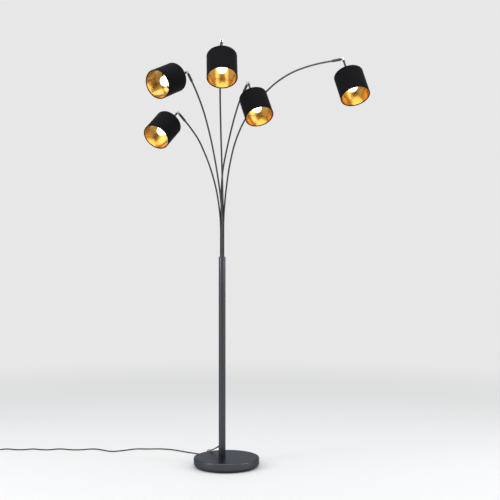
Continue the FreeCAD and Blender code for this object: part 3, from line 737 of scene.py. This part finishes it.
def switchMesh():
    s = footSwitch
    work = bmesh.new()
    long, wide, top, parting = s["length"] - 2 * s["stub"], s["width"], s["height"], s["parting"]
    corner, edge, ringRadius, well = s["corner"], s["edge"], s["ringRadius"], s["wellRadius"]
    # (inset, height) rows up the side, over the top edge and in to the well's ring
    rows = [(1.2, 0), (0.3, 0.4), (0, 1.5), (0, parting - 0.5), (0.5, parting - 0.3),
            (0.5, parting + 0.3), (0, parting + 0.5), (0, top - 3.8), (0.3, top - 2.1),
            (1.1, top - 0.8), (2.6, top - 0.1), (edge, top)]
    loops = []
    for inset, z in rows:
        outline = roundedOblong(long - 2 * inset, wide - 2 * inset, corner - inset)
        loops.append([work.verts.new(inMetres(x, y, z)) for x, y in outline])
    addLoops(work, loops)
    work.faces.new(loops[0][::-1])
    ring = [loops[-1]]
    turns = [math.atan2(y, x) for x, y in outline]
    for radius, z in ((ringRadius, top), (ringRadius - 0.2, top + 0.5), (well + 0.3, top + 0.5),
                      (well, top), (well, s["wellFloor"])):
        ring.append([work.verts.new(inMetres(radius * math.cos(a), radius * math.sin(a), z))
                     for a in turns])
    addLoops(work, ring)
    # cord ends
    r = s["stubRadius"]
    outline = [(0, 0), (3.05, 0), (r - 0.8, 0)]
    for low in (0, 2.6, 5.2):
        outline += [(r - 0.4, low + 0.5), (r - 0.1, low + 0.8), (r, low + 2.0),
                    (r - 0.7, low + 2.4)]
    outline += [(r, 8.2), (r, 10.0), (0, 10.0)]
    for side in (-1, 1):
        turn = Matrix.Rotation(math.radians(-90) * side, 4, "Y")
        place = Matrix.Translation(inMetres(side * s["length"] / 2, 0, cord["switchAxis"]))
        addTurned(work, place @ turn, outline, steps=32, closed=False)
    return toMesh("footSwitch", work)


def buttonOutline():
    s = footSwitch
    low, top = s["height"] - s["well"] + s["travel"] + s["spare"], s["height"] + s["proud"]
    r = s["button"]
    outline = [(0, low), (r, low), (r, top - 2.0), (r - 0.3, top - 0.9), (r - 1.0, top - 0.2),
               (r - 2.0, top)]
    for wide in (8.2, 6.4, 4.6):
        outline += [(wide, top - 0.05), (wide - 0.35, top - 0.4), (wide - 0.7, top - 0.1)]
    return outline + [(0, top - 0.5)]


switchCentre = Matrix.Translation(inMetres(switchEnd.x - footSwitch["length"] / 2, switchEnd.y, 0))
switchPiece = piece("footSwitch", switchMesh(), "stand", "black_plastic", "plastic",
                    at=switchCentre, replaces=("foot_switch",))
buttonPiece = piece("switchCap", turned("switchCap", buttonOutline(), steps=64, closed=False),
                    "button", "black_plastic", "plastic", at=switchCentre,
                    replaces=("switch_button",))

# Plug: flat two-pin body with grip ridges, pins sleeved in plastic half way

plugSizes = {"length": 36.0, "halfWide": 17.5, "halfHigh": 6.8, "grip": 5.6, "groove": 4.9,
             "gripPitch": 2.6, "flat": 7.0, "pin": 2.0, "pinSleeve": 10.0, "pinLength": 19.0,
             "pinSpacing": 19.0}


def plugMesh():
    p = plugSizes
    work = bmesh.new()
    long, wide, high = (p[key] for key in ("length", "halfWide", "halfHigh"))
    grip, groove = p["grip"], p["groove"]
    # sections from the cord to the face: (x, half width, half height)
    sections = [(0, 4.4, 4.4), (0.6, 5.0, 5.0)]
    for x in (p["gripPitch"] * k for k in range(4)):
        sections += [(x + 2.0, grip, grip), (x + 3.2, grip, grip), (x + 3.5, groove, groove),
                     (x + 4.3, groove, groove)]
    sections += [(13.0, 6.2, 6.3), (17.0, 10.5, 6.6), (20.5, 15.2, 6.75), (23.0, 17.2, high),
                 (26.0, wide, high), (long - 1.4, wide, high), (long - 0.4, wide - 0.4, high - 0.3),
                 (long, wide - 1.3, high - 1.0)]
    steps, rings = 48, []
    turns = [2 * math.pi * k / steps for k in range(steps)]
    for x, halfWide, halfHigh in sections:
        # round at the cord, nearly a flat oblong at the face
        bendAcross, bendUp = (0.72, 0.45) if halfWide > p["flat"] else (1.0, 1.0)
        ring = []
        for across, up in ((math.cos(a), math.sin(a)) for a in turns):
            y = halfWide * math.copysign(abs(across) ** bendAcross, across)
            z = halfHigh * math.copysign(abs(up) ** bendUp, up)
            ring.append(work.verts.new(inMetres(x, y, z)))
        rings.append(ring)
    addLoops(work, rings)
    work.faces.new(rings[0][::-1])
    work.faces.new(rings[-1])
    # each pin: a sleeved root, then bare metal with a rounded tip
    root, sleeve, end = p["pin"], p["pinSleeve"], p["pinLength"]
    bare = root - 0.05
    rootOutline = [(0, 0), (root, 0), (root, sleeve), (0, sleeve)]
    bareOutline = [(0, sleeve), (bare, sleeve), (bare, end - 1.0), (bare * 0.8, end - 0.25),
                   (0, end)]
    turn = Matrix.Rotation(math.radians(90), 4, "Y")
    for side in (-1, 1):
        place = Matrix.Translation(inMetres(long, side * p["pinSpacing"] / 2, 0)) @ turn
        for outline, material in ((rootOutline, 0), (bareOutline, 1)):
            addTurned(work, place, outline, steps=24, closed=False, material=material)
    return toMesh("plug", work)


plugPiece = piece("mainsPlug", plugMesh(), "stand", "black_plastic", "plastic", "capMetal",
                  at=Matrix.Translation(route[-1] / 1000), replaces=("plug",))
tuple(cordStart / 1000)
print("switch, coil and plug")

# Solids that are shown as they are get their finish

carried = {
    "base_weight": "cement", "base_pad": "rubber", "base_nut": "zinc", "pole_foot": "zinc",
    "arm_hub": "plastic", "cord_tie": "plastic",
}
for number in heads:
    carried["arm_%d" % number] = "lampMetal"
    carried["spider_%d" % number] = "stemEnamel"
for name, finish in carried.items():
    for entry in nodes[name].material_slots:
        entry.material = finishes[finish]

# Studio: pale floor, soft boxes left, right and above, even light from all round

studio = {"floorSize": 60.0, "floor": (0.8, 0.8, 0.8), "backdrop": (0.8, 0.8, 0.8),
          "world": 0.55, "fadeFrom": 1.2, "fadeTo": 4.5}


def paleFloor():
    finish = Finish("paleFloor")
    cloud = finish.noise(1.5, 4)
    tone = finish.blend(cloud, studio["floor"], tuple(c * 1.03 for c in studio["floor"]))
    rough = finish.between(cloud, 0.6, 0.75)
    near = finish.add("ShaderNodeBsdfPrincipled", sockets={"Base Color": tone, "Roughness": rough})
    far = finish.add("ShaderNodeEmission", sockets={"Color": (*studio["backdrop"], 1)})
    away = finish.add("ShaderNodeVectorMath", {"operation": "LENGTH"}, {0: finish.place()}, out=1)
    fade = finish.add("ShaderNodeMapRange", {"interpolation_type": "SMOOTHSTEP"},
                      {"Value": away, "From Min": studio["fadeFrom"], "From Max": studio["fadeTo"]})
    share = fade * finish.backdropRay()
    mixed = finish.add("ShaderNodeMixShader", sockets={0: share, 1: near, 2: far})
    finish.add("ShaderNodeOutputMaterial", sockets={0: mixed})
    return finish.material


half = studio["floorSize"] / 2
floorMesh = bpy.data.meshes.new("floor")
corners = [(-half, -half, 0), (half, -half, 0), (half, half, 0), (-half, half, 0)]
floorMesh.from_pydata(corners, [], [(0, 1, 2, 3)])
floorMesh.materials.append(paleFloor())
floor = bpy.data.objects.new("floor", floorMesh)
scene.collection.objects.link(floor)


def softBox(name, place, target, wide, high, power):
    lamp = bpy.data.lights.new(name, "AREA")
    lamp.shape, lamp.size, lamp.size_y, lamp.energy = "RECTANGLE", wide, high, power
    obj = bpy.data.objects.new(name, lamp)
    obj.location = place
    obj.rotation_euler = (Vector(target) - Vector(place)).to_track_quat("-Z", "Y").to_euler()
    scene.collection.objects.link(obj)


softBox("leftBox", (-3.2, -1.6, 2.2), (0, 0, 1.0), 1.2, 2.6, 60)
softBox("rightBox", (3.4, -1.0, 2.0), (0, 0, 1.0), 1.2, 2.6, 50)
softBox("topBox", (0, -0.6, 4.2), (0, 0, 1.0), 3.0, 3.0, 70)


def studioWorld():
    sky = Finish("studio", bpy.data.worlds)
    even = sky.add("ShaderNodeBackground",
                   sockets={"Color": (0.96, 0.98, 1.0, 1), "Strength": studio["world"]})
    seen = sky.add("ShaderNodeBackground",
                   sockets={"Color": (*studio["backdrop"], 1), "Strength": 1.0})
    mixed = sky.add("ShaderNodeMixShader", sockets={0: sky.backdropRay(), 1: even, 2: seen})
    sky.add("ShaderNodeOutputWorld", sockets={0: mixed})
    return sky.material


scene.world = studioWorld()
print("studio")

scene.view_settings.view_transform = "Standard"
print("scene done")
